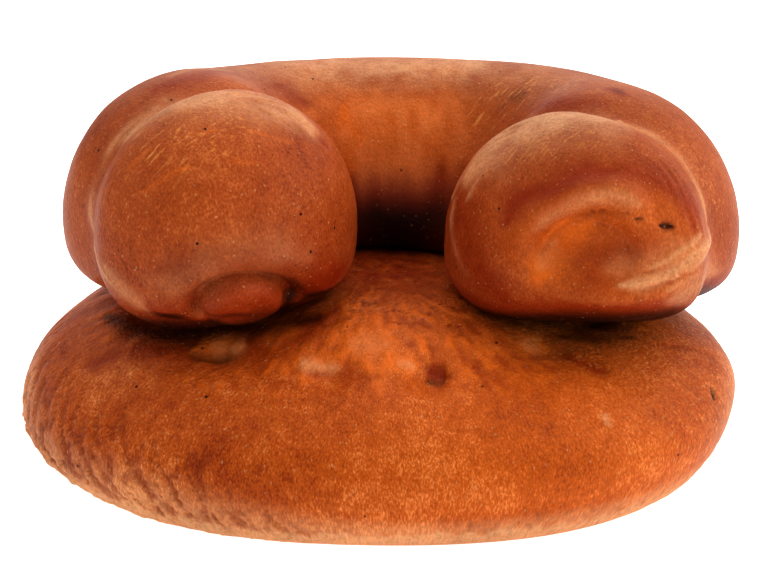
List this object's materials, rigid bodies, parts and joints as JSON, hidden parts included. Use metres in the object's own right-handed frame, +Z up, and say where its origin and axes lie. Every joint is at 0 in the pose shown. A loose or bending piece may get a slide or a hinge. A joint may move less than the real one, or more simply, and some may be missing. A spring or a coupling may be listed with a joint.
{
  "type": "bread bun",
  "caption": "Baked bread bun: a round flat bun with a ring of finger pokes and a fat horseshoe roll lying on its domed top.",
  "frame": {"origin": "centre of the round bun's flat underside, on the surface that it stands on", "axes": "+Z up, -Y towards the open side of the horseshoe with its two fat ends, +X to the right of someone who looks at those ends"},
  "size_m": [0.1381, 0.122, 0.068],
  "materials": {
    "bun_crust": "egg-washed baked crust, golden orange-brown with pale blisters, soft sheen",
    "roll_crust": "egg-washed baked crust, red-brown with paler worn rims, soft sheen"
  },
  "bodies": {
    "root": {"round_bun": "bun_crust", "horseshoe_roll": "roll_crust"}
  },
  "joints": []
}
